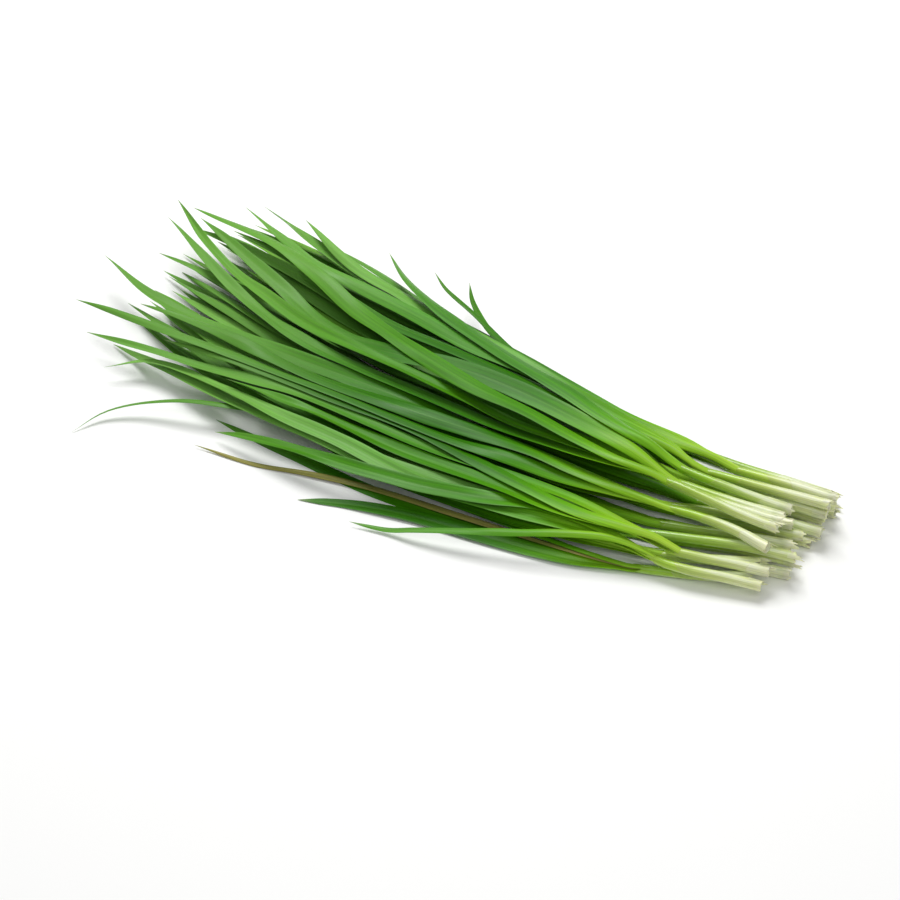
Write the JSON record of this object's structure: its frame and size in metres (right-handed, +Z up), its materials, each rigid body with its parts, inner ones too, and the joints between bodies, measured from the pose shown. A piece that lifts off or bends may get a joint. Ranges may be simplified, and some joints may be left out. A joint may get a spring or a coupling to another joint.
{
  "type": "garlic chive bunch",
  "caption": "Loose bunch of cut garlic chives lying down: pale round stems together at one end, flat green strap leaves fanning out to pointed tips at the other.",
  "frame": {"origin": "middle of the bunch's box on the surface that it lies on", "axes": "+X along the bunch towards the cut stem ends, leaf tips towards -X; +Y across the fan; +Z up"},
  "size_m": [0.426, 0.2006, 0.0318],
  "materials": {
    "chive_leaf": "satin plant tissue, deep green leaves paling to white-green stems"
  },
  "bodies": {
    "root": {"shoot_01": "chive_leaf", "shoot_02": "chive_leaf", "shoot_03": "chive_leaf", "shoot_04": "chive_leaf", "shoot_05": "chive_leaf", "shoot_06": "chive_leaf", "shoot_07": "chive_leaf", "shoot_08": "chive_leaf", "shoot_09": "chive_leaf", "shoot_10": "chive_leaf", "shoot_11": "chive_leaf", "shoot_12": "chive_leaf", "shoot_13": "chive_leaf", "shoot_14": "chive_leaf", "shoot_15": "chive_leaf", "shoot_16": "chive_leaf", "shoot_17": "chive_leaf", "shoot_18": "chive_leaf", "shoot_19": "chive_leaf", "shoot_20": "chive_leaf", "shoot_21": "chive_leaf", "shoot_22": "chive_leaf", "shoot_23": "chive_leaf", "shoot_24": "chive_leaf", "shoot_25": "chive_leaf", "shoot_26": "chive_leaf", "shoot_27": "chive_leaf", "shoot_28": "chive_leaf", "shoot_29": "chive_leaf", "shoot_30": "chive_leaf"}
  },
  "joints": []
}
